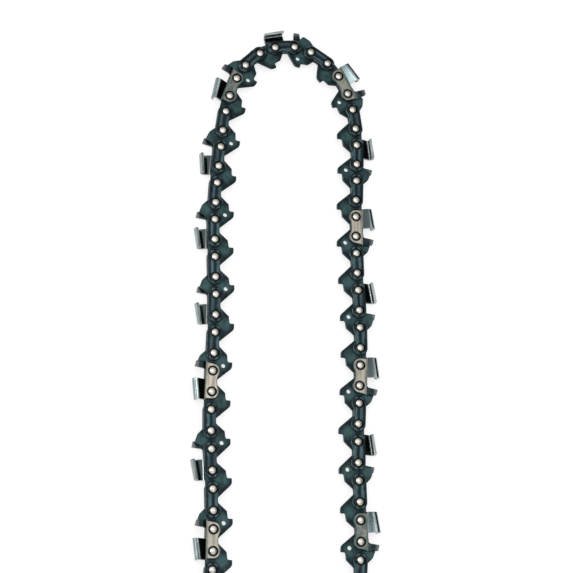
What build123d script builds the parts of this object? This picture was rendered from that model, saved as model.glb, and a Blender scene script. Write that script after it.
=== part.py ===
from build123d import *
import math
import os

# Saw chain loop, lying flat. Millimetres, +Z up, origin under the middle of the loop.
# The chain runs clockwise seen from above. In each link's own frame +X is the running
# direction, +Y points out of the loop (the cutting side) and Z = 0 is the middle plane.

# Chain pattern
drive_link_count = 40
drive_pitch = 8.6
tie_pitch = 10.0
out_of_turn = 8

# Lie of the loop: each half turns through 180 degrees, mostly in its end bend
half_turn = 180.0
bend_centre = 29.8
bend_half_width = 10.0
first_heading = 88.6
sways = [(2, 0.53, 56.0), (3, 1.01, 129.0), (4, 1.19, -39.0)]

# Plate thicknesses, gaps and edges
drive_thickness = 1.3
strap_thickness = 1.2
side_gap = 0.05
strap_gap = 1.3
link_gap = 0.8
edge_bevel = 0.4

# Rivets
hub_radius = 2.15
hub_clearance = 0.05
shank_radius = 1.6
shank_clearance = 0.02
head_radius = 2.45
head_rim = 0.12
skirt_height = 0.3
dome_radius = 1.75
head_height = 0.7

# Drive links
link_edge = 3.3
flank_angle = 47.5
tang_depth = 9.4
tang_shoulder = 6.7
tang_notch = 7.1
tip_reach = 5.2
shoulder_round = 0.8
notch_round = 0.8
tip_round = 0.5
heel_round = 2.5
tang_hole_radius = 1.0
tang_hole_along = 3.1
tang_hole_depth = 5.1

# Bumper on every second drive link
bumper_height = 7.7
bumper_heel = 0.8
bumper_peak = 3.2
bumper_shoulder = 7.2
bumper_shoulder_height = 6.3
bumper_toe = 10.2
bumper_heel_round = 1.0
bumper_peak_round = 1.2
bumper_shoulder_round = 3.0
bumper_toe_round = 1.0

# Tie straps
strap_waist = 2.35

# Cutters
lean_start = 3.4
lean_round = 1.0
cutter_front = 5.6
cutter_length = 9.7
cutter_height = 10.15
rear_drop = 1.4
cutter_reach = 4.9
rear_relief = 0.4
plate_far_reach = 1.5
plate_drop = 1.0
corner_round = 1.9
edge_angle = 28.0
file_radius = 2.2
file_bite = 0.7
file_rise = 0.35

# Depth gauge, ahead of the cutter's front rivet
gauge_height = 8.8
gauge_start = 0.6
gauge_peak = 1.4
gauge_end = 4.2
gauge_slope = 0.7
gauge_lean = 0.6
gauge_lean_height = 1.4
gauge_heel_round = 1.2
gauge_peak_round = 0.35
gauge_toe_round = 0.5

# Sizes that follow from those above
half_count = drive_link_count
rivet_count = 2 * drive_link_count
strap_radius = (drive_pitch - strap_gap) / 2
link_radius = (tie_pitch - link_gap) / 2
inner_face = drive_thickness / 2 + side_gap
outer_face = inner_face + strap_thickness
head_top = outer_face + head_height
waist_round = ((tie_pitch / 2) ** 2 + strap_waist**2 - strap_radius**2) / (2 * (strap_radius - strap_waist))
cutter_rear = cutter_front - cutter_length
overlap = 0.5
past = 1.0


def bend_share(rivet):
    """How strongly a rivet takes part in its half's end bend, from 0 to 1."""
    away = (rivet - bend_centre + half_count / 2) % half_count - half_count / 2
    if abs(away) >= bend_half_width:
        return 0.0
    return (1 + math.cos(math.pi * away / bend_half_width)) / 2


def rivet_turns():
    """The turn in degrees at each rivet of one half: the end bend and a few slow sways."""
    total = sum(bend_share(i) for i in range(half_count))
    turns = []
    for i in range(half_count):
        turn = -half_turn * bend_share(i) / total
        for waves, degrees, phase in sways:
            turn += degrees * math.sin(math.radians(360 * waves * i / half_count + phase))
        turns.append(turn)
    return turns


def loop_layout():
    """Each rivet's place and the heading of the link ahead of it. The second half is the first, turned."""
    turns = rivet_turns()
    place = Vector(0, 0)
    heading = first_heading
    places = []
    headings = []
    for i in range(rivet_count):
        if i > 0:
            heading += turns[i % half_count]
        places.append(place)
        headings.append(heading)
        step = drive_pitch if i % 2 == 0 else tie_pitch
        place = place + Vector(step, 0).rotate(Axis.Z, heading)
    middle = (places[0] + places[half_count]) / 2
    return [p - middle for p in places], headings


def beyond(point, angle, depth):
    """The point where a line from a point, at an angle below the X axis, reaches a depth below Y = 0."""
    run = (depth + point.Y) / math.sin(math.radians(angle))
    return point + Vector(run * math.cos(math.radians(angle)), -depth - point.Y)


def outer_edge(start, end, bumper):
    """The drive link's edge on the cutting side, plain or with its bumper."""
    if not bumper:
        return Line(start, end)
    heel = Vector(bumper_heel, link_edge)
    peak = Vector(bumper_peak, bumper_height)
    shoulder = Vector(bumper_shoulder, bumper_shoulder_height)
    toe = Vector(bumper_toe, link_edge)
    rounds = [bumper_heel_round, bumper_peak_round, bumper_shoulder_round, bumper_toe_round]
    return FilletPolyline(start, heel, peak, shoulder, toe, end, radius=rounds)


def tang_edge(front, rear):
    """The tang's edge from the front flank round the hooked tip to the rear flank."""
    shoulder = beyond(front, 180 - flank_angle, tang_shoulder)
    notch = Vector(tip_reach, -tang_notch)
    tip = Vector(tip_reach, -tang_depth)
    heel = beyond(rear, flank_angle, tang_depth)
    rounds = [shoulder_round, notch_round, tip_round, heel_round]
    return FilletPolyline(front, shoulder, notch, tip, heel, rear, radius=rounds)


def bevelled(faces):
    """The plate that has these flat faces, with their outlines broken."""
    outlines = [face.outer_wire().edges() for face in faces]
    return chamfer(ShapeList(edge for outline in outlines for edge in outline), edge_bevel)


def drive_link(bumper):
    """A drive link: round ends about its rivets and a hooked tang, which has a hole in bumper links."""
    corner = math.sqrt(link_radius**2 - link_edge**2)
    across = link_radius * math.sin(math.radians(flank_angle))
    down = link_radius * math.cos(math.radians(flank_angle))
    rear_top = Vector(-corner, link_edge)
    front_top = Vector(drive_pitch + corner, link_edge)
    front_low = Vector(drive_pitch + across, -down)
    rear_low = Vector(-across, -down)
    outline = [
        outer_edge(rear_top, front_top, bumper),
        ThreePointArc(front_top, Vector(drive_pitch + link_radius, 0), front_low),
        tang_edge(front_low, rear_low),
        ThreePointArc(rear_low, Vector(-link_radius, 0), rear_top),
    ]
    plate = extrude(make_face(outline), drive_thickness / 2, both=True)
    plate = bevelled(plate.faces().filter_by(Axis.Z))
    holes = Cylinder(hub_radius + hub_clearance, drive_thickness + past)
    plate -= holes
    plate -= Pos(drive_pitch, 0, 0) * holes
    if bumper:
        hole = Cylinder(tang_hole_radius, drive_thickness + past)
        plate -= Pos(tang_hole_along, -tang_hole_depth, 0) * hole
    return plate


def strap_outline():
    """A tie strap's outline: round ends, a straight cutting side and a waist on the bar side."""
    reach = waist_round / (waist_round + strap_radius)
    sink = strap_waist + waist_round
    rear_tangent = Vector(tie_pitch / 2, -sink) * (1 - reach)
    front_tangent = Vector(tie_pitch - rear_tangent.X, rear_tangent.Y)
    rear_top = Vector(0, strap_radius)
    front_top = Vector(tie_pitch, strap_radius)
    return make_face(
        [
            Line(rear_top, front_top),
            ThreePointArc(front_top, Vector(tie_pitch + strap_radius, 0), front_tangent),
            ThreePointArc(front_tangent, Vector(tie_pitch / 2, -strap_waist), rear_tangent),
            ThreePointArc(rear_tangent, Vector(-strap_radius, 0), rear_top),
        ]
    )


def side_plate(outline):
    """A flat plate of strap thickness on the upper side of the drive links, with its upper edge broken."""
    plate = Pos(0, 0, inner_face) * extrude(outline, strap_thickness)
    return bevelled([plate.faces().sort_by(Axis.Z)[-1]])


def with_rivet_holes(plate):
    """Cuts the two shank holes of a side link."""
    hole = Pos(0, 0, outer_face) * Cylinder(shank_radius + shank_clearance, 2 * outer_face)
    return plate - hole - Pos(tie_pitch, 0, 0) * hole


def tie_strap():
    """The tie strap on the upper side."""
    return with_rivet_holes(side_plate(strap_outline()))


def rivet():
    """A rivet: a hub that the drive link turns on, shanks in the side links and two domed heads."""
    skirt = outer_face + skirt_height
    half = [
        (hub_radius, 0),
        (hub_radius, inner_face),
        (shank_radius, inner_face),
        (shank_radius, outer_face),
        (head_radius, outer_face),
        (head_radius, outer_face + head_rim),
        (dome_radius, skirt),
    ]
    rise = head_top - skirt
    sphere = (dome_radius**2 + rise**2) / (2 * rise)
    angle = math.asin(dome_radius / sphere) / 2
    shoulder = (sphere * math.sin(angle), head_top - sphere * (1 - math.cos(angle)))
    lines = [
        Polyline(*half),
        ThreePointArc(half[-1], shoulder, (0, head_top)),
        Line((0, head_top), (0, 0)),
        Line((0, 0), half[0]),
    ]
    upper = revolve(Plane.XZ * make_face(lines), Axis.Z)
    return upper + mirror(upper, about=Plane.XY)


def offset_path(points, distance):
    """An open path of straight runs, moved sideways to its right."""
    runs = [(b - a).normalized() for a, b in zip(points, points[1:])]
    sides = [Vector(run.Y, -run.X) for run in runs]
    moved = [points[0] + sides[0] * distance]
    for point, before, after in zip(points[1:], sides, sides[1:]):
        moved.append(point + (before + after) * (distance / (1 + before.dot(after))))
    return moved + [points[-1] + sides[-1] * distance]


def bent_section(points, rounds, inner_rounds):
    """The cross-section of a bent plate from the path of its outer face."""
    inner = offset_path(points, strap_thickness)
    return make_face(
        [
            FilletPolyline(*points, radius=rounds),
            Line(points[-1], inner[-1]),
            FilletPolyline(*inner, radius=inner_rounds),
            Line(inner[0], points[0]),
        ]
    )


def plate_section(height, reach):
    """The cutter's section: side plate leaning out, round corner and top plate back across the chain."""
    path = [
        Vector(lean_start - overlap, outer_face),
        Vector(lean_start, outer_face),
        Vector(height, reach),
        Vector(height - plate_drop, -plate_far_reach),
    ]
    rounds = [lean_round, corner_round]
    inner_rounds = [lean_round + strap_thickness, corner_round - strap_thickness]
    return bent_section(path, rounds, inner_rounds)


def cutting_plate():
    """The cutter's side and top plate, lower and narrower to the rear, with a filed front edge."""
    front = Plane.YZ.offset(cutter_front) * plate_section(cutter_height, cutter_reach)
    rear_section = plate_section(cutter_height - rear_drop, cutter_reach - rear_relief)
    plate = loft([Plane.YZ.offset(cutter_rear) * rear_section, front], ruled=True)
    corner = Pos(cutter_front, 0, cutter_reach) * Rot(0, -edge_angle, 0)
    across = 2 * (cutter_length + cutter_reach + plate_far_reach)
    middle = (Align.MIN, Align.CENTER, Align.CENTER)
    wedge = corner * Box(cutter_length, 2 * (cutter_height + past), across, align=middle)
    file_height = cutter_height + file_rise - file_radius
    file = corner * Pos(file_radius - file_bite, file_height, 0) * Cylinder(file_radius, across)
    return plate - wedge - file


def depth_gauge():
    """The tooth ahead of the cutting edge that sets the depth of cut, jogged out from the strap."""
    lean_top = lean_start + gauge_lean_height
    path = [
        Vector(lean_start - overlap, outer_face),
        Vector(lean_start, outer_face),
        Vector(lean_top, outer_face + gauge_lean),
        Vector(gauge_height + past, outer_face + gauge_lean),
    ]
    outer_bend = lean_round + strap_thickness
    section = bent_section(path, [lean_round, outer_bend], [outer_bend, lean_round])
    rear = tie_pitch + gauge_start - gauge_heel_round - past
    front = tie_pitch + gauge_end
    slab = extrude(Plane.YZ.offset(rear) * section, front - rear)
    floor = lean_start - overlap
    corners = [
        (rear, strap_radius),
        (tie_pitch + gauge_start, strap_radius),
        (tie_pitch + gauge_peak, gauge_height),
        (front, gauge_height - gauge_slope),
        (front, floor),
    ]
    rounds = [gauge_heel_round, gauge_peak_round, gauge_toe_round]
    edge = FilletPolyline(*corners, radius=rounds)
    outline = make_face([edge, Polyline(corners[-1], (rear, floor), corners[0])])
    return slab & extrude(outline, outer_face + gauge_lean + past)


def right_cutter():
    """A right-hand cutter, on the upper side: strap, cutting plate and depth gauge in one piece."""
    front = tie_pitch + gauge_end
    upper = make_face(
        Polyline(
            (-strap_radius, 0),
            (-strap_radius, strap_radius),
            (front, strap_radius),
            (front, lean_start - overlap),
            (tie_pitch + strap_radius, 0),
            close=True,
        )
    )
    strap = side_plate(strap_outline() + upper)
    return with_rivet_holes(strap + cutting_plate() + depth_gauge())


def group(solids):
    """Separate solids that share one node."""
    return Compound(children=[solid for shape in solids for solid in shape.solids()])


places, headings = loop_layout()
upper_cutter = right_cutter()
lower_cutter = mirror(upper_cutter, about=Plane.XY)
upper_strap = tie_strap()
lower_strap = mirror(upper_strap, about=Plane.XY)
plain_link = drive_link(bumper=False)
bumper_link = drive_link(bumper=True)
one_rivet = rivet()
middle_height = max(upper_cutter.bounding_box().max.Z, head_top)


def at_rivet(index):
    """The frame of the link that starts at a rivet."""
    place = places[index]
    return Location((place.X, place.Y, middle_height), (0, 0, headings[index]))


# Side links with a cutter are every second pair, right and left in turn, but for the one that is
# left-handed out of turn.
os.makedirs("parts", exist_ok=True)
for k in range(drive_link_count):
    drive_frame = at_rivet(2 * k)
    side_frame = at_rivet(2 * k + 1)
    rivets = [side_frame * one_rivet, side_frame * Pos(tie_pitch, 0, 0) * one_rivet]
    number = f"{k + 1:02d}"
    if k % 2 == 1:
        pieces = [drive_frame * bumper_link, side_frame * upper_strap, side_frame * lower_strap]
        export_step(group(pieces + rivets), f"parts/bumper_link_{number}.step")
    elif k % 4 == 0 and k != out_of_turn:
        pieces = [drive_frame * plain_link, side_frame * lower_strap]
        export_step(group(pieces + rivets), f"parts/plain_link_{number}.step")
        export_step(side_frame * upper_cutter, f"parts/right_cutter_{number}.step")
    else:
        pieces = [drive_frame * plain_link, side_frame * upper_strap]
        export_step(group(pieces + rivets), f"parts/plain_link_{number}.step")
        export_step(side_frame * lower_cutter, f"parts/left_cutter_{number}.step")
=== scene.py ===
import math

import bpy
from mathutils import Matrix, Vector


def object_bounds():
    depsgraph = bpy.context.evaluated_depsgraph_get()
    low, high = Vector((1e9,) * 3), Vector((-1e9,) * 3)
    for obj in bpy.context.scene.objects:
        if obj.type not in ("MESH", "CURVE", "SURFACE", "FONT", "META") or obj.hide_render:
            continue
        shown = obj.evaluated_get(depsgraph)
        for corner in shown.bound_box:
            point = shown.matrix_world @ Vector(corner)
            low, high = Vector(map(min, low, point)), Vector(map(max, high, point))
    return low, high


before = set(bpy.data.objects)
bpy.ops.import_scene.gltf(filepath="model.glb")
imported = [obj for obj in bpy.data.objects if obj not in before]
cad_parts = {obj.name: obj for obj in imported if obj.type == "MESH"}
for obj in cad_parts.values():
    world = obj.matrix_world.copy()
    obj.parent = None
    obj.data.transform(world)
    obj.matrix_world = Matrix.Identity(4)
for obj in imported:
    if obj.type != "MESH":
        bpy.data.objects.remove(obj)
cad_low, cad_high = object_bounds()

# Heights across the chain, in metres from its middle plane.
chain_middle = (cad_low[2] + cad_high[2]) / 2
drive_half = 0.00066
strap_outer = 0.00192
skirt_top = 0.00215
head_level = 0.0020

# Faces steeper than this are a plate's rolled edges.
flat_slope = 0.9

# A face of the cutting plate is plated where it looks outward or forward by more than these.
plate_slope = 0.4
front_slope = 0.6

# The side plate's inside looks back across the chain by more than this.
side_slope = 0.5

# The chain's own sizes that the finishes follow.
pitch_count = 40
tie_pitch = 0.0100
tang_middle = (0.0043, -0.0046)
bumper_middle = (0.0048, 0.0050)
lean_start = 0.0035
gauge_rear = 0.0080

# Where the finishes change, in metres: first where a change starts, then where it is complete.
# The strap's painted sheen: two lighter bands this far out from its middle line, fading over the span
# below.
strap_sheen_middle = 0.0014
strap_sheen_band = (0.0002, 0.0011)
# The drive link's painted sheen fades out between these distances from the tang's and the bumper's middle.
drive_sheen = (0.0014, 0.0046)
dome_shade = (0.00140, 0.00168)
# The cutter's strap turns darker and greener over this span outward from its middle line.
strap_edge_darkening = (0.0026, 0.0042)
# The chrome's painted shade near the strap, where the plating also thins, fades out over this span.
thin_and_shaded_chrome = (0.0056, 0.0084)
gauge_rub = (0.0068, 0.0088)

# How far the grain makes such a change wander, in metres.
strap_wander = 0.0012
stain_wander = 0.0016
chrome_wander = 0.0008
gauge_wander = 0.0012

# The turning tool's rings on a rivet's head, in radians a metre.
dome_rings = 26000.0

# The step that sets one piece's grain apart from the next one's.
seed_step = 0.37

# How far a right-hand cutter's strap is stained over, by its place in the chain; the others are clean.
strap_stains = {1: 0.30, 13: 0.95, 17: 0.60, 25: 0.15, 29: 0.90, 33: 0.50, 37: 0.20}


def numbered(kind, number):
    return f"{kind}_{number:02d}"


def link_node(number):
    for kind in ("plain_link", "bumper_link"):
        name = numbered(kind, number)
        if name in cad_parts:
            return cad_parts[name]
    raise KeyError(number)


def rivet_centres(node):
    """The two rivet heads on a link's near side, the rear one first; the chain runs clockwise."""
    heads = [v.co for v in node.data.vertices if v.co.z > chain_middle + head_level]
    middle = sum(heads, Vector()) / len(heads)
    far = max(heads, key=lambda p: (p - middle).length)
    sides = ([], [])
    for p in heads:
        sides[(p - middle).dot(far - middle) > 0].append(p)
    ends = []
    for side in sides:
        xs = [p.x for p in side]
        ys = [p.y for p in side]
        ends.append(Vector(((min(xs) + max(xs)) / 2, (min(ys) + max(ys)) / 2, 0)))
    run = ends[1] - ends[0]
    if middle.x * run.y - middle.y * run.x > 0:
        ends.reverse()
    return ends


def heading(start, end):
    return math.atan2(end.y - start.y, end.x - start.x)


rivets = {n: rivet_centres(link_node(n)) for n in range(1, pitch_count + 1)}
for number, (rear, front) in rivets.items():
    before = rivets[(number - 2) % pitch_count + 1][1]
    owners = [link_node(number)]
    for hand in ("right_cutter", "left_cutter"):
        if numbered(hand, number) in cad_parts:
            owners.append(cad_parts[numbered(hand, number)])
    for owner in owners:
        owner["strap_origin"] = (rear.x, rear.y, chain_middle)
        owner["strap_heading"] = heading(rear, front)
        owner["drive_origin"] = (before.x, before.y, chain_middle)
        owner["drive_heading"] = heading(before, rear)
        owner["piece_seed"] = number * seed_step
        owner["strap_stain"] = strap_stains.get(number, 0.0)


class Finish:
    """A node material with the few nodes that the finishes are made of."""

    def __init__(self, name):
        self.material = bpy.data.materials.new(name)
        self.material.use_nodes = True
        self.tree = self.material.node_tree
        self.surface = self.tree.nodes["Principled BSDF"]

    def node(self, kind, **settings):
        made = self.tree.nodes.new(kind)
        for key, value in settings.items():
            setattr(made, key, value)
        return made

    def put(self, value, socket):
        if isinstance(value, bpy.types.NodeSocket):
            self.tree.links.new(value, socket)
        else:
            socket.default_value = value

    def set(self, **inputs):
        for key, value in inputs.items():
            self.put(value, self.surface.inputs[key.replace("_", " ")])

    def attribute(self, name):
        return self.node("ShaderNodeAttribute", attribute_type="OBJECT", attribute_name=name)

    def along(self, which):
        """Coordinates along a strap or a drive link: x to its front rivet, y outward, z up."""
        place = self.node("ShaderNodeTexCoord").outputs["Object"]
        shift = self.node("ShaderNodeVectorMath", operation="SUBTRACT")
        self.put(place, shift.inputs[0])
        self.put(self.attribute(which + "_origin").outputs["Vector"], shift.inputs[1])
        back = self.maths("MULTIPLY", self.attribute(which + "_heading").outputs["Fac"], -1.0)
        turn = self.node("ShaderNodeVectorRotate", rotation_type="Z_AXIS")
        self.put(shift.outputs[0], turn.inputs["Vector"])
        self.put(back, turn.inputs["Angle"])
        return turn.outputs[0]

    def maths(self, operation, a, b=0.0, clamp=False):
        made = self.node("ShaderNodeMath", operation=operation, use_clamp=clamp)
        self.put(a, made.inputs[0])
        self.put(b, made.inputs[1])
        return made.outputs[0]

    def parts(self, vector):
        """How far a point lies along the plate, and how far outward."""
        split = self.node("ShaderNodeSeparateXYZ")
        self.put(vector, split.inputs[0])
        return split.outputs["X"], split.outputs["Y"]

    def stretched(self, vector, scale):
        """The vector scaled axis by axis and set apart for each piece, so no two pieces look the same."""
        scaled = self.node("ShaderNodeVectorMath", operation="MULTIPLY")
        self.put(vector, scaled.inputs[0])
        self.put(scale, scaled.inputs[1])
        apart = self.node("ShaderNodeVectorMath", operation="ADD")
        self.put(scaled.outputs[0], apart.inputs[0])
        self.put(self.attribute("piece_seed").outputs["Fac"], apart.inputs[1])
        return apart.outputs[0]

    def noise(self, vector, detail, roughness=0.5):
        """Noise with one grain to each unit of the vector."""
        made = self.node("ShaderNodeTexNoise")
        self.put(vector, made.inputs["Vector"])
        self.put(1.0, made.inputs["Scale"])
        self.put(detail, made.inputs["Detail"])
        self.put(roughness, made.inputs["Roughness"])
        return made.outputs["Fac"]

    def span(self, value, low, high, to_low=0.0, to_high=1.0):
        made = self.node("ShaderNodeMapRange", interpolation_type="SMOOTHSTEP")
        for socket, given in zip(made.inputs, (value, low, high, to_low, to_high)):
            self.put(given, socket)
        return made.outputs[0]

    def blend(self, share, first, second):
        made = self.node("ShaderNodeMix", data_type="RGBA")
        self.put(share, made.inputs["Factor"])
        self.put(first, made.inputs[6])
        self.put(second, made.inputs[7])
        return made.outputs[2]

    def bump(self, height, strength, distance):
        made = self.node("ShaderNodeBump")
        self.put(strength, made.inputs["Strength"])
        self.put(distance, made.inputs["Distance"])
        self.put(height, made.inputs["Height"])
        return made.outputs[0]


def colour(red, green, blue):
    return (red, green, blue, 1.0)


def strap_finish():
    """Blue-black rolled steel, with two lighter bands along the strap that are a painted sheen."""
    f = Finish("blued_strap")
    along = f.along("strap")
    y = f.parts(along)[1]
    streak = f.noise(f.stretched(along, (60.0, 900.0, 60.0)), 2.0)
    fine = f.noise(f.stretched(along, (160.0, 3200.0, 300.0)), 3.0, 0.6)
    mottle = f.noise(f.stretched(along, (420.0, 420.0, 420.0)), 4.0, 0.6)
    wander = f.maths("MULTIPLY", f.maths("SUBTRACT", mottle, 0.5), strap_wander)
    aside = f.maths("ABSOLUTE", f.maths("ADD", y, wander))
    # A painted sheen: the strap is lighter in two bands along its length and darker towards its edges.
    off_sheen_band = f.maths("ABSOLUTE", f.maths("SUBTRACT", aside, strap_sheen_middle))
    sheen_band = f.span(off_sheen_band, *strap_sheen_band, 1.0, 0.0)
    tone = f.maths("MULTIPLY", sheen_band, f.span(streak, 0.30, 0.62, 0.3, 1.0))
    base = f.blend(tone, colour(0.005, 0.012, 0.016), colour(0.058, 0.108, 0.120))
    lined = f.blend(f.span(fine, 0.52, 0.75, 0.0, 0.3), base, colour(0.068, 0.112, 0.12))
    f.set(Base_Color=lined, Metallic=0.85)
    f.set(Roughness=f.span(mottle, 0.3, 0.7, 0.26, 0.44))
    f.set(Normal=f.bump(fine, 0.10, 0.00005))
    return f.material


def near(f, x, y, centre):
    """The distance from a point of the link's face."""
    across = f.maths("SUBTRACT", x, centre[0])
    up = f.maths("SUBTRACT", y, centre[1])
    return f.maths("SQRT", f.maths("ADD", f.maths("MULTIPLY", across, across), f.maths("MULTIPLY", up, up)))


def drive_finish():
    """Oxidised steel, greener than the straps, with a painted sheen lighter in the middle of the tang and
    the bumper and darker towards the edges.
    """
    f = Finish("blued_drive_link")
    along = f.along("drive")
    x, y = f.parts(along)
    streak = f.noise(f.stretched(along, (170.0, 300.0, 120.0)), 2.0)
    grain = f.noise(f.stretched(along, (2600.0, 900.0, 900.0)), 3.0, 0.65)
    mottle = f.noise(f.stretched(along, (520.0, 520.0, 520.0)), 4.0, 0.65)
    # A painted sheen: lighter round the middle of the tang and of the bumper, darker further out.
    away = f.maths("MINIMUM", near(f, x, y, tang_middle), near(f, x, y, bumper_middle))
    rub_and_sheen = f.span(away, *drive_sheen, 1.0, 0.0)
    tone = f.maths("MULTIPLY", rub_and_sheen, f.span(streak, 0.30, 0.60, 0.35, 1.0))
    base = f.blend(tone, colour(0.005, 0.013, 0.016), colour(0.036, 0.080, 0.085))
    worn = f.blend(f.span(mottle, 0.52, 0.74, 0.0, 0.45), base, colour(0.050, 0.096, 0.100))
    f.set(Base_Color=worn, Metallic=0.8)
    f.set(Roughness=f.span(grain, 0.3, 0.7, 0.30, 0.48))
    f.set(Normal=f.bump(grain, 0.10, 0.00005))
    return f.material


def edge_finish():
    """The rolled, burnished edge of a stamped plate, painted darker than its faces as shade."""
    f = Finish("shaded_burnished_edge")
    along = f.along("strap")
    mottle = f.noise(f.stretched(along, (700.0, 700.0, 2600.0)), 3.0, 0.6)
    # Painted shade: the edge's colour is darker than the faces' colour.
    base = f.blend(f.span(mottle, 0.35, 0.7), colour(0.014, 0.026, 0.031), colour(0.066, 0.100, 0.108))
    f.set(Base_Color=base, Metallic=0.85)
    f.set(Roughness=f.span(mottle, 0.3, 0.7, 0.22, 0.34))
    return f.material


def folded_radius(f, along):
    """The distance from the nearer of the strap's two rivets."""
    x, y = f.parts(along)
    half = tie_pitch / 2
    folded = f.maths("SUBTRACT", f.maths("ABSOLUTE", f.maths("SUBTRACT", x, half)), half)
    square = f.maths("ADD", f.maths("MULTIPLY", folded, folded), f.maths("MULTIPLY", y, y))
    return f.maths("SQRT", square)


def dome_finish():
    """The bright spun head of a rivet, with the tool's rings on it."""
    f = Finish("rivet_dome")
    along = f.along("strap")
    radius = folded_radius(f, along)
    rings = f.maths("SINE", f.maths("MULTIPLY", radius, dome_rings))
    mottle = f.noise(f.stretched(along, (900.0, 900.0, 900.0)), 4.0, 0.6)
    base = f.blend(f.span(mottle, 0.3, 0.7), colour(0.62, 0.605, 0.54), colour(0.79, 0.775, 0.70))
    edge = f.blend(f.span(radius, *dome_shade), base, colour(0.011, 0.0125, 0.0135))
    f.set(Base_Color=edge, Metallic=0.85)
    f.set(Roughness=f.span(mottle, 0.3, 0.7, 0.27, 0.38))
    f.set(Normal=f.bump(rings, 0.08, 0.00004))
    return f.material


def rim_finish():
    """The dark pressed rim round a rivet's head."""
    f = Finish("rivet_rim")
    along = f.along("strap")
    mottle = f.noise(f.stretched(along, (1300.0, 1300.0, 1300.0)), 3.0, 0.6)
    base = f.blend(f.span(mottle, 0.4, 0.75), colour(0.006, 0.007, 0.008), colour(0.016, 0.018, 0.019))
    f.set(Base_Color=base, Metallic=0.8)
    f.set(Roughness=f.span(mottle, 0.3, 0.7, 0.16, 0.26))
    return f.material


def ground_finish(name, dark, light):
    """A cutter's strap, ground along its length."""
    f = Finish(name)
    along = f.along("strap")
    streak = f.noise(f.stretched(along, (45.0, 560.0, 60.0)), 2.0)
    fine = f.noise(f.stretched(along, (200.0, 3000.0, 300.0)), 3.0, 0.6)
    base = f.blend(f.span(streak, 0.34, 0.66), dark, light)
    lined = f.blend(f.span(fine, 0.50, 0.74, 0.0, 0.45), base, light)
    y = f.parts(along)[1]
    mottle = f.noise(f.stretched(along, (420.0, 700.0, 420.0)), 3.0, 0.6)
    # The strap turns darker and greener towards its edges.
    aside = f.maths("ADD", f.maths("ABSOLUTE", y), f.maths("MULTIPLY", mottle, stain_wander))
    edge_share = f.span(aside, *strap_edge_darkening, 0.0, 0.7)
    edge_darkened = f.blend(edge_share, lined, colour(0.055, 0.068, 0.066))
    stain = f.attribute("strap_stain").outputs["Fac"]
    share = f.maths("MULTIPLY", stain, f.span(mottle, 0.3, 0.6, 0.55, 1.0))
    dulled = f.blend(share, edge_darkened, colour(0.075, 0.115, 0.110))
    f.set(Base_Color=dulled, Metallic=0.9)
    f.set(Roughness=f.span(streak, 0.3, 0.7, 0.30, 0.42))
    f.set(Normal=f.bump(fine, 0.06, 0.00004))
    return f.material


def chrome_finish():
    """Hard chrome on the outside of the cutting plate, thin near the strap and painted dark there as shade.
    """
    f = Finish("hard_chrome")
    along = f.along("strap")
    y = f.parts(along)[1]
    drawn = f.noise(f.stretched(along, (70.0, 700.0, 500.0)), 2.0, 0.5)
    cloud = f.noise(f.stretched(along, (260.0, 380.0, 380.0)), 3.0, 0.5)
    base = f.blend(f.span(cloud, 0.35, 0.68), colour(0.21, 0.255, 0.265), colour(0.30, 0.355, 0.36))
    lined = f.blend(f.span(drawn, 0.48, 0.72, 0.0, 0.4), base, colour(0.42, 0.47, 0.47))
    # Painted shade near the strap, where the plating also thins.
    outward = f.maths("ADD", y, f.maths("MULTIPLY", drawn, chrome_wander))
    thin_and_shaded = f.span(outward, *thin_and_shaded_chrome, 0.85, 0.0)
    f.set(Base_Color=f.blend(thin_and_shaded, lined, colour(0.060, 0.085, 0.090)), Metallic=1.0)
    f.set(Roughness=f.span(drawn, 0.3, 0.7, 0.12, 0.20))
    return f.material


def inside_finish(name, dark, light):
    """The cutting plate's inside, bare steel with the marks of the bending tool."""
    f = Finish(name)
    along = f.along("strap")
    drawn = f.noise(f.stretched(along, (80.0, 1300.0, 1300.0)), 3.0, 0.6)
    base = f.blend(f.span(drawn, 0.35, 0.68), dark, light)
    f.set(Base_Color=base, Metallic=0.9)
    f.set(Roughness=f.span(drawn, 0.3, 0.7, 0.14, 0.24))
    return f.material


def gauge_finish():
    """The depth gauge, rubbed grey towards its tip."""
    f = Finish("rubbed_gauge")
    along = f.along("strap")
    y = f.parts(along)[1]
    drawn = f.noise(f.stretched(along, (1800.0, 260.0, 700.0)), 3.0, 0.6)
    outward = f.maths("ADD", y, f.maths("MULTIPLY", drawn, gauge_wander))
    rub_and_sheen = f.span(outward, *gauge_rub)
    base = f.blend(rub_and_sheen, colour(0.011, 0.020, 0.023), colour(0.125, 0.142, 0.142))
    lined = f.blend(f.span(drawn, 0.5, 0.75, 0.0, 0.5), base, colour(0.105, 0.130, 0.130))
    f.set(Base_Color=lined, Metallic=0.9)
    f.set(Roughness=f.span(drawn, 0.3, 0.7, 0.24, 0.36))
    return f.material


drive_steel = drive_finish()
strap_steel = strap_finish()
rim_steel = rim_finish()
dome_steel = dome_finish()
edge_steel = edge_finish()
chrome = chrome_finish()
# Both insides are the same bare steel; the top plate's inside is painted darker as shade.
side_inside = inside_finish("side_plate_inside", colour(0.21, 0.24, 0.245), colour(0.42, 0.45, 0.45))
shaded_top_inside = inside_finish("top_plate_inside_shaded", colour(0.11, 0.13, 0.135), colour(0.30, 0.33, 0.33))
gauge_steel = gauge_finish()
tan_strap = ground_finish("tan_strap", colour(0.27, 0.24, 0.20), colour(0.54, 0.495, 0.415))
dark_strap = ground_finish("dark_strap", colour(0.012, 0.017, 0.019), colour(0.060, 0.072, 0.074))

link_finishes = (drive_steel, strap_steel, rim_steel, dome_steel, edge_steel)


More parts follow.
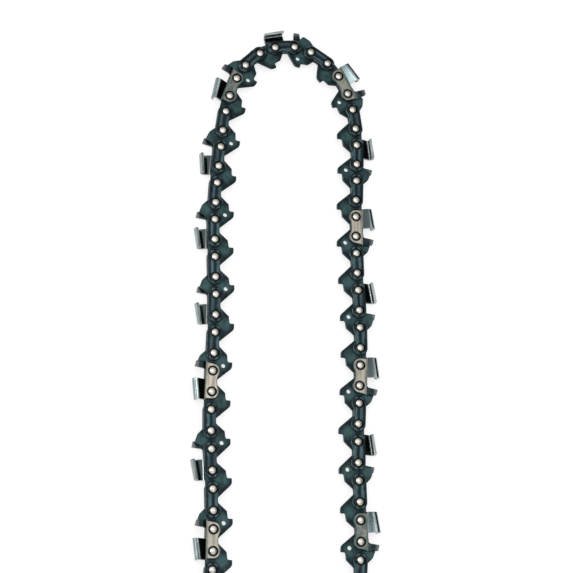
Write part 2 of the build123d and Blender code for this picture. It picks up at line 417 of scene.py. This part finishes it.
def link_face(polygon):
    """The finish of a link's face, from its height over the chain's middle and its slope."""
    height = abs(polygon.center.z - chain_middle)
    if height < strap_outer and abs(polygon.normal.z) < flat_slope:
        return edge_steel
    return link_finishes[sum(height > top for top in (drive_half, strap_outer, skirt_top))]


def cutter_face(polygon, node, strap_finish, hand):
    """The finish of a cutter's face, from its place and the way it looks; hand is 1 (right) or -1."""
    back = Matrix.Rotation(-node["strap_heading"], 3, "Z")
    place = back @ (polygon.center - Vector(node["strap_origin"]))
    looks = back @ polygon.normal
    if place.y < lean_start:
        return strap_finish if abs(looks.z) > flat_slope else edge_steel
    if place.x > gauge_rear:
        return gauge_steel
    if looks.x > front_slope or max(looks.y, looks.z * hand) > plate_slope:
        return chrome
    if looks.z * hand < -side_slope and place.z * hand > 0:
        return side_inside
    return shaded_top_inside


def dress(node, finishes, choose):
    """Gives each face of a node the finish that choose names."""
    mesh = node.data
    mesh.materials.clear()
    for finish in finishes:
        mesh.materials.append(finish)
    for polygon in mesh.polygons:
        polygon.material_index = finishes.index(choose(polygon))


for name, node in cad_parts.items():
    if name.startswith("right_cutter"):
        finishes = (tan_strap, edge_steel, gauge_steel, chrome, side_inside, shaded_top_inside)
        dress(node, finishes, lambda polygon: cutter_face(polygon, node, tan_strap, 1))
    elif name.startswith("left_cutter"):
        finishes = (dark_strap, edge_steel, gauge_steel, chrome, side_inside, shaded_top_inside)
        dress(node, finishes, lambda polygon: cutter_face(polygon, node, dark_strap, -1))
    else:
        dress(node, link_finishes, link_face)

# A plain white floor that keeps the chain's shadow; its glow is seen by the camera and by metal only.
floor_size = 8.0
floor_grey = 0.34
floor_glow = 0.72

bpy.ops.mesh.primitive_plane_add(size=floor_size, location=(0, 0, 0))
floor = bpy.context.object
floor.name = "floor"
white = bpy.data.materials.new("floor_white")
white.use_nodes = True
paint = white.node_tree.nodes["Principled BSDF"]
paint.inputs["Base Color"].default_value = colour(floor_grey, floor_grey, floor_grey)
paint.inputs["Roughness"].default_value = 0.9
paint.inputs["Specular IOR Level"].default_value = 0.0
paint.inputs["Emission Color"].default_value = colour(1.0, 1.0, 1.0)
seen = white.node_tree.nodes.new("ShaderNodeLightPath")
either = white.node_tree.nodes.new("ShaderNodeMath")
either.operation = "MAXIMUM"
white.node_tree.links.new(seen.outputs["Is Camera Ray"], either.inputs[0])
white.node_tree.links.new(seen.outputs["Is Glossy Ray"], either.inputs[1])
glow = white.node_tree.nodes.new("ShaderNodeMath")
glow.operation = "MULTIPLY"
glow.inputs[1].default_value = floor_glow
white.node_tree.links.new(either.outputs[0], glow.inputs[0])
white.node_tree.links.new(glow.outputs[0], paint.inputs["Emission Strength"])
floor.data.materials.append(white)


def soft_light(name, place, aim, size, power):
    """An area lamp of that size in metres and power in watts."""
    lamp = bpy.data.lights.new(name, "AREA")
    lamp.shape = "RECTANGLE"
    lamp.size, lamp.size_y = size
    lamp.energy = power
    made = bpy.data.objects.new(name, lamp)
    bpy.context.scene.collection.objects.link(made)
    made.location = place
    made.rotation_euler = (Vector(aim) - Vector(place)).to_track_quat("-Z", "Y").to_euler()


# Two softboxes give the plain light. The small lamps are what the cutters' plates mirror.
soft_light("left_softbox", (-1.25, -0.05, 0.62), (0, 0.03, 0), (1.6, 0.55), 5.0)
soft_light("top_softbox", (0.05, 0.2, 1.5), (0, 0.05, 0), (1.0, 1.0), 3.0)
soft_light("small_lamp", (-0.24, 0.02, 1.25), (0, 0.03, 0), (0.12, 0.12), 0.6)
soft_light("side_lamp", (-0.46, 0.12, 1.05), (0, 0.05, 0), (0.22, 0.18), 0.85)


black = bpy.data.materials.new("card_black")
black.use_nodes = True
black_paint = black.node_tree.nodes["Principled BSDF"]
black_paint.inputs["Base Color"].default_value = colour(0.01, 0.01, 0.01)
black_paint.inputs["Specular IOR Level"].default_value = 0.0


def dark_card(name, corners):
    """A black card beside the chain that only its metal sees."""
    mesh = bpy.data.meshes.new(name)
    mesh.from_pydata(corners, [], [(0, 1, 2, 3)])
    mesh.materials.append(black)
    card = bpy.data.objects.new(name, mesh)
    bpy.context.scene.collection.objects.link(card)
    card.visible_camera = False
    card.visible_diffuse = False
    card.visible_shadow = False


def upright(start, end, height):
    """The corners of a card that stands on the floor from start to end."""
    return [(*start, 0.0), (*end, 0.0), (*end, height), (*start, height)]


dark_card("right_card", upright((0.7, -1.6), (0.7, 1.8), 1.0))
dark_card("back_card", upright((-0.5, 1.1), (0.7, 1.1), 1.1))

room_strength = 0.8

world = bpy.data.worlds.new("studio")
bpy.context.scene.world = world
world.use_nodes = True
room = world.node_tree.nodes["Background"]
room.inputs["Color"].default_value = colour(1.0, 1.0, 1.0)
room.inputs["Strength"].default_value = room_strength

# The camera stands where the photograph's did, looking down on the near side from the lower left.
# The picture's width and the focal length are in pixels of the photograph.
picture_width = 573
focal_length = 1801.95
view_tilt = math.radians(14.848)
view_swing = math.radians(13.741)
view_roll = math.radians(3.43)
view_distance = 0.86333
aim = Vector((-0.000295, 0.04471, chain_middle + 0.0026))

turn = Matrix.Rotation(view_roll, 3, "Z")
right = turn @ Vector((
    math.cos(view_swing),
    -math.sin(view_tilt) * math.sin(view_swing),
    math.sin(view_swing) * math.cos(view_tilt),
))
up = turn @ Vector((0, math.cos(view_tilt), math.sin(view_tilt)))
back = right.cross(up)

camera_data = bpy.data.cameras.new("photo_camera")
camera_data.sensor_width = 36.0
camera_data.lens = camera_data.sensor_width * focal_length / picture_width
camera_data.clip_start = 0.01
camera = bpy.data.objects.new("photo_camera", camera_data)
bpy.context.scene.collection.objects.link(camera)
stand = Matrix((right, up, back)).transposed().to_4x4()
stand.translation = aim + back * view_distance
camera.matrix_world = stand
bpy.context.scene.camera = camera

# The dark front of the photographer's camera, which the rivet heads show at their lower left.
lens_reach = 0.17
sideways = right * lens_reach
upward = up * lens_reach
lens = stand.translation
dark_card("lens_card", [
    lens - sideways - upward,
    lens + sideways - upward,
    lens + sideways + upward,
    lens - sideways + upward,
])

bpy.context.scene.view_settings.view_transform = "Standard"
